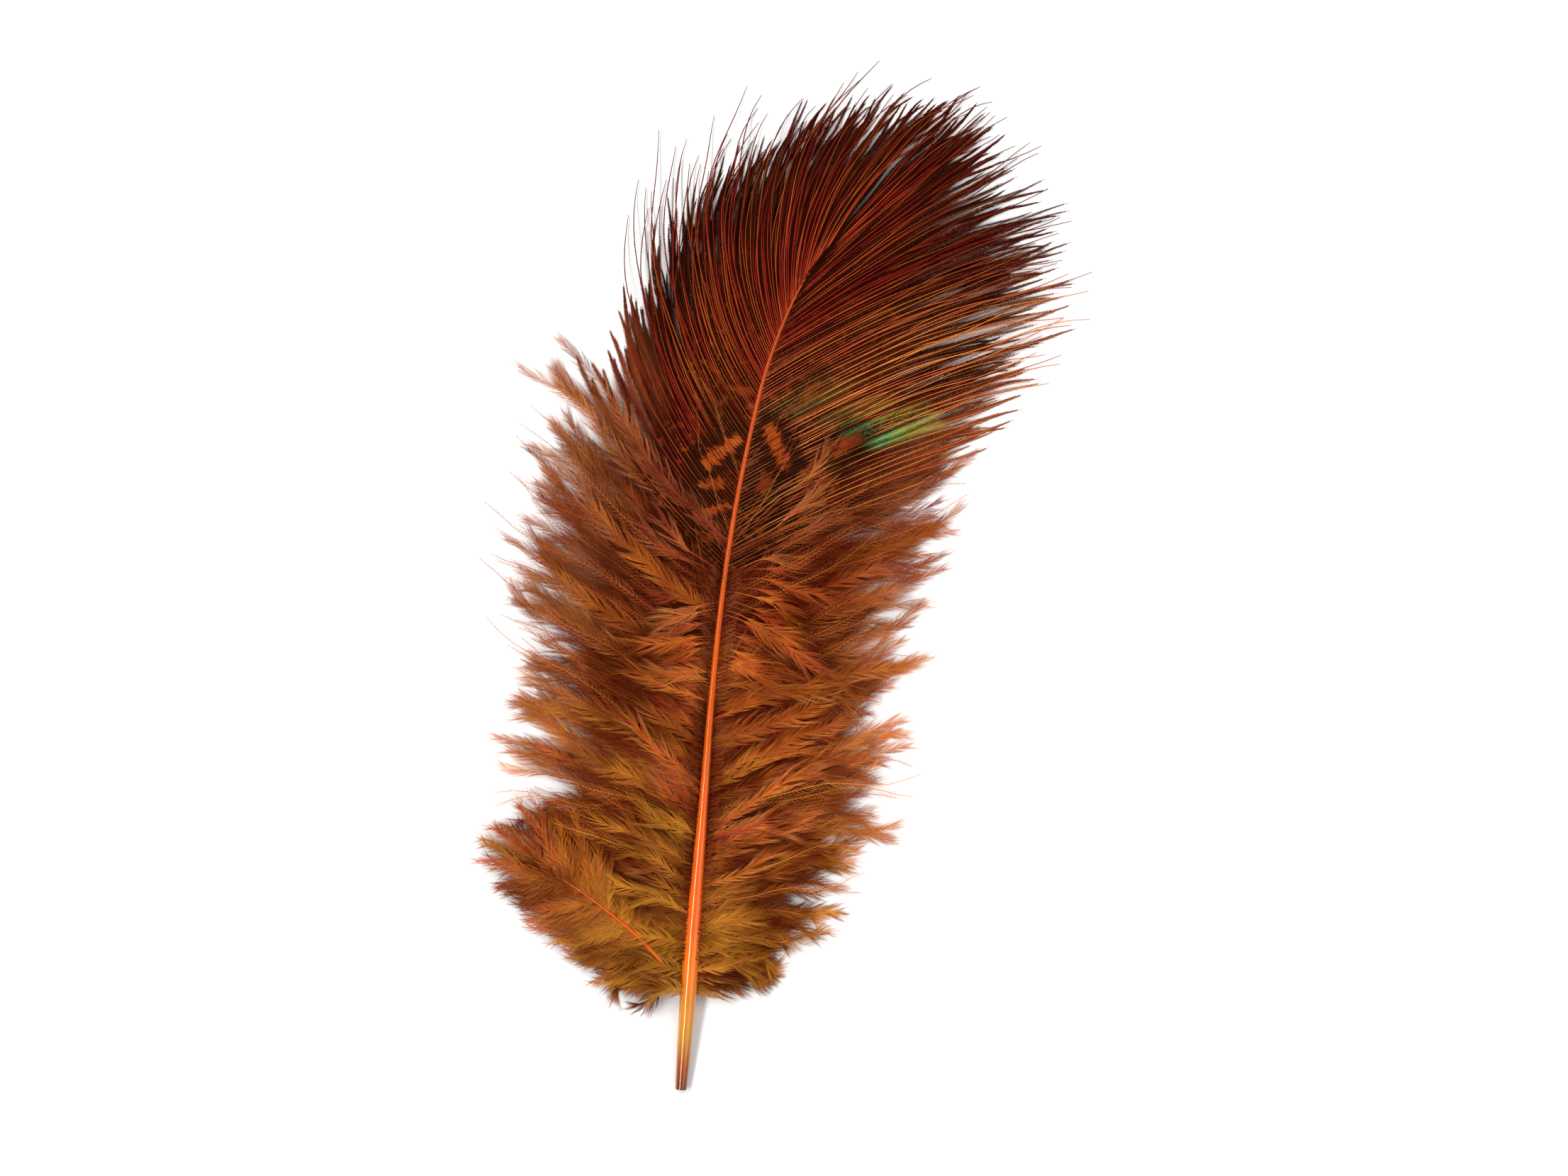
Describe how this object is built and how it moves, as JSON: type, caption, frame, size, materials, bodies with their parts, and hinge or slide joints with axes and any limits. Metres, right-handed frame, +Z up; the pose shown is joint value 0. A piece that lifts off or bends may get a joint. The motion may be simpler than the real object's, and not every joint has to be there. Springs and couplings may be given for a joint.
{
  "type": "pheasant rump feather",
  "caption": "Dyed pheasant rump feather lying on its underside: bare quill, downy lower half, barred vanes with a green band and a loose maroon fringe.",
  "frame": {"origin": "under the middle of the feather's box, on the surface that it lies on", "axes": "+Y along the feather from the cut end of the quill to the tip, +Z up out of its upper side, +X to the right seen from above with the tip away"},
  "size_m": [0.053, 0.087, 0.0047],
  "materials": {
    "feather": "soft dyed barbs and down, satin on the firm barbs",
    "quill": "glossy translucent horn, dyed orange"
  },
  "bodies": {
    "root": {"rump_feather": "feather"}
  },
  "joints": []
}
